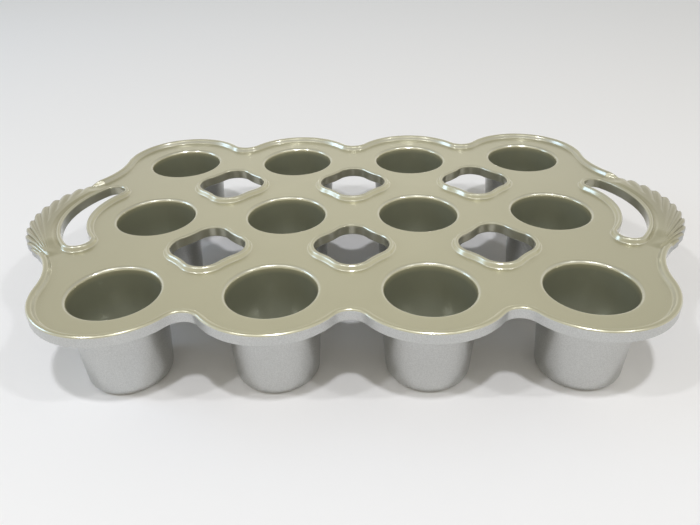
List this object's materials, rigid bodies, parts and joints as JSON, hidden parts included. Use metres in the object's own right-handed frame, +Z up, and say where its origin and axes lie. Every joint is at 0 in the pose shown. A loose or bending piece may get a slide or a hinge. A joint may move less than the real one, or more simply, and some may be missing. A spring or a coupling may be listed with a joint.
{
  "type": "popover pan",
  "caption": "Cast aluminium popover pan with deep tapered cups hung from a thin deck, lobed beaded rim, diamond windows between the cups and a fluted slotted handle at each end.",
  "frame": {"origin": "middle of the footprint, at the height of the cups' feet on the table", "axes": "+X along the pan towards the right handle, +Y towards the back row, +Z up out of the cups"},
  "size_m": [0.4108, 0.2606, 0.0563],
  "materials": {
    "coated_casting": "satin warm champagne non-stick coat",
    "bare_casting": "fine cast texture, satin"
  },
  "bodies": {
    "root": {"deck": "coated_casting", "front_rim": "bare_casting", "back_rim": "bare_casting", "left_handle": "coated_casting", "right_handle": "coated_casting", "left_slot_collar": "coated_casting", "right_slot_collar": "coated_casting", "front_window_left": "coated_casting", "front_window_middle": "coated_casting", "front_window_right": "coated_casting", "back_window_left": "coated_casting", "back_window_middle": "coated_casting", "back_window_right": "coated_casting", "cup_front_1": "coated_casting", "cup_front_2": "coated_casting", "cup_front_3": "coated_casting", "cup_front_4": "coated_casting", "cup_middle_1": "coated_casting", "cup_middle_2": "coated_casting", "cup_middle_3": "coated_casting", "cup_middle_4": "coated_casting", "cup_back_1": "coated_casting", "cup_back_2": "coated_casting", "cup_back_3": "coated_casting", "cup_back_4": "coated_casting"}
  },
  "joints": []
}
